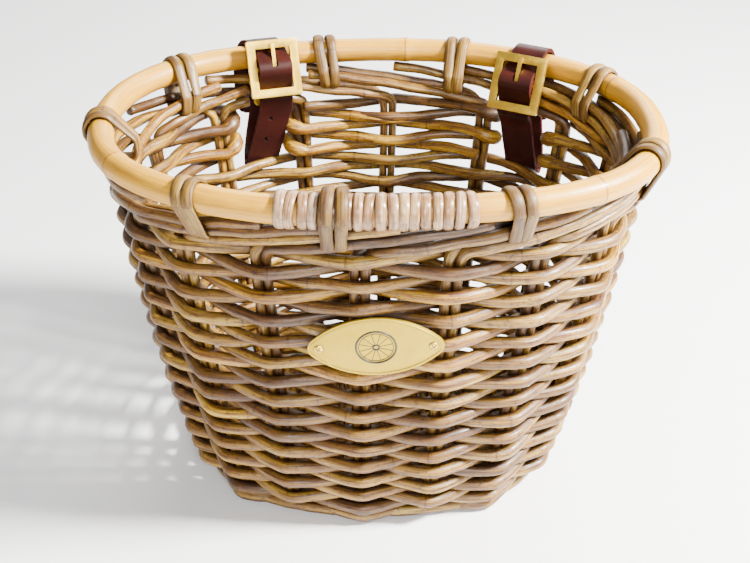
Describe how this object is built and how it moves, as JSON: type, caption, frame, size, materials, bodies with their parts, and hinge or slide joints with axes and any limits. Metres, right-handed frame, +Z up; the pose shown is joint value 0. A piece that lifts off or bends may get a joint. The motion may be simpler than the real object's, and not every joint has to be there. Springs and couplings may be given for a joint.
{
  "type": "handlebar basket",
  "caption": "Flared woven-cane basket with a thick lashed cane rim and two buckled leather straps that hang it from bicycle handlebars.",
  "frame": {"origin": "on the floor under the middle of the basket", "axes": "+X along the basket's length to the viewer's right, +Y to the strapped rear wall, +Z up"},
  "size_m": [0.3841, 0.2761, 0.2865],
  "materials": {
    "pale_cane": "skinned cane, satin",
    "grey_binding": "split cane, glossy skin",
    "tie_cane": "split cane, glossy skin",
    "woven_cane": "unpeeled cane, half gloss",
    "leather": "smooth finished strap leather",
    "brass": "brushed"
  },
  "bodies": {
    "basket": {"badge_plate": "brass", "badge_screw_1": "brass", "badge_screw_2": "brass", "base_stick_1": "woven_cane", "base_stick_2": "woven_cane", "base_stick_3": "woven_cane", "base_stick_4": "woven_cane", "base_weave": "woven_cane", "border_rod_inner": "woven_cane", "border_rod_outer_lower": "woven_cane", "border_rod_outer_upper": "woven_cane", "buckle_left_frame": "brass", "buckle_right_frame": "brass", "foot_rod": "woven_cane", "rim_joint_binding": "grey_binding", "rim_pole": "pale_cane", "rim_tie_1": "tie_cane", "rim_tie_2": "tie_cane", "rim_tie_3": "tie_cane", "rim_tie_4": "tie_cane", "rim_tie_5": "tie_cane", "rim_tie_6": "tie_cane", "rim_tie_7": "tie_cane", "rim_tie_8": "tie_cane", "rim_tie_9": "tie_cane", "stake_pair_01": "woven_cane", "stake_pair_02": "woven_cane", "stake_pair_03": "woven_cane", "stake_pair_04": "woven_cane", "stake_pair_05": "woven_cane", "stake_pair_06": "woven_cane", "stake_pair_07": "woven_cane", "stake_pair_08": "woven_cane", "stake_pair_09": "woven_cane", "stake_pair_10": "woven_cane", "stake_pair_11": "woven_cane", "stake_pair_12": "woven_cane", "stake_pair_13": "woven_cane", "stake_pair_14": "woven_cane", "stake_pair_15": "woven_cane", "stake_pair_16": "woven_cane", "strap_left": "leather", "strap_left_chape": "leather", "strap_left_rivet": "brass", "strap_right": "leather", "strap_right_chape": "leather", "strap_right_rivet": "brass", "weave_lower": "woven_cane", "weave_upper_front": "woven_cane", "weave_upper_rear": "woven_cane"},
    "left_prong": {"buckle_left_prong": "brass"},
    "right_prong": {"buckle_right_prong": "brass"}
  },
  "joints": [
    {"name": "left_prong_hinge", "type": "hinge", "parent": "basket", "child": "left_prong", "pos_m": [-0.0754, 0.0949, 0.26646], "axis": [0.9597, 0.2812, 0], "range_deg": [0, 15]},
    {"name": "right_prong_hinge", "type": "hinge", "parent": "basket", "child": "right_prong", "pos_m": [0.10369, 0.08146, 0.26089], "axis": [0.8926, -0.4509, 0], "range_deg": [0, 15]}
  ]
}
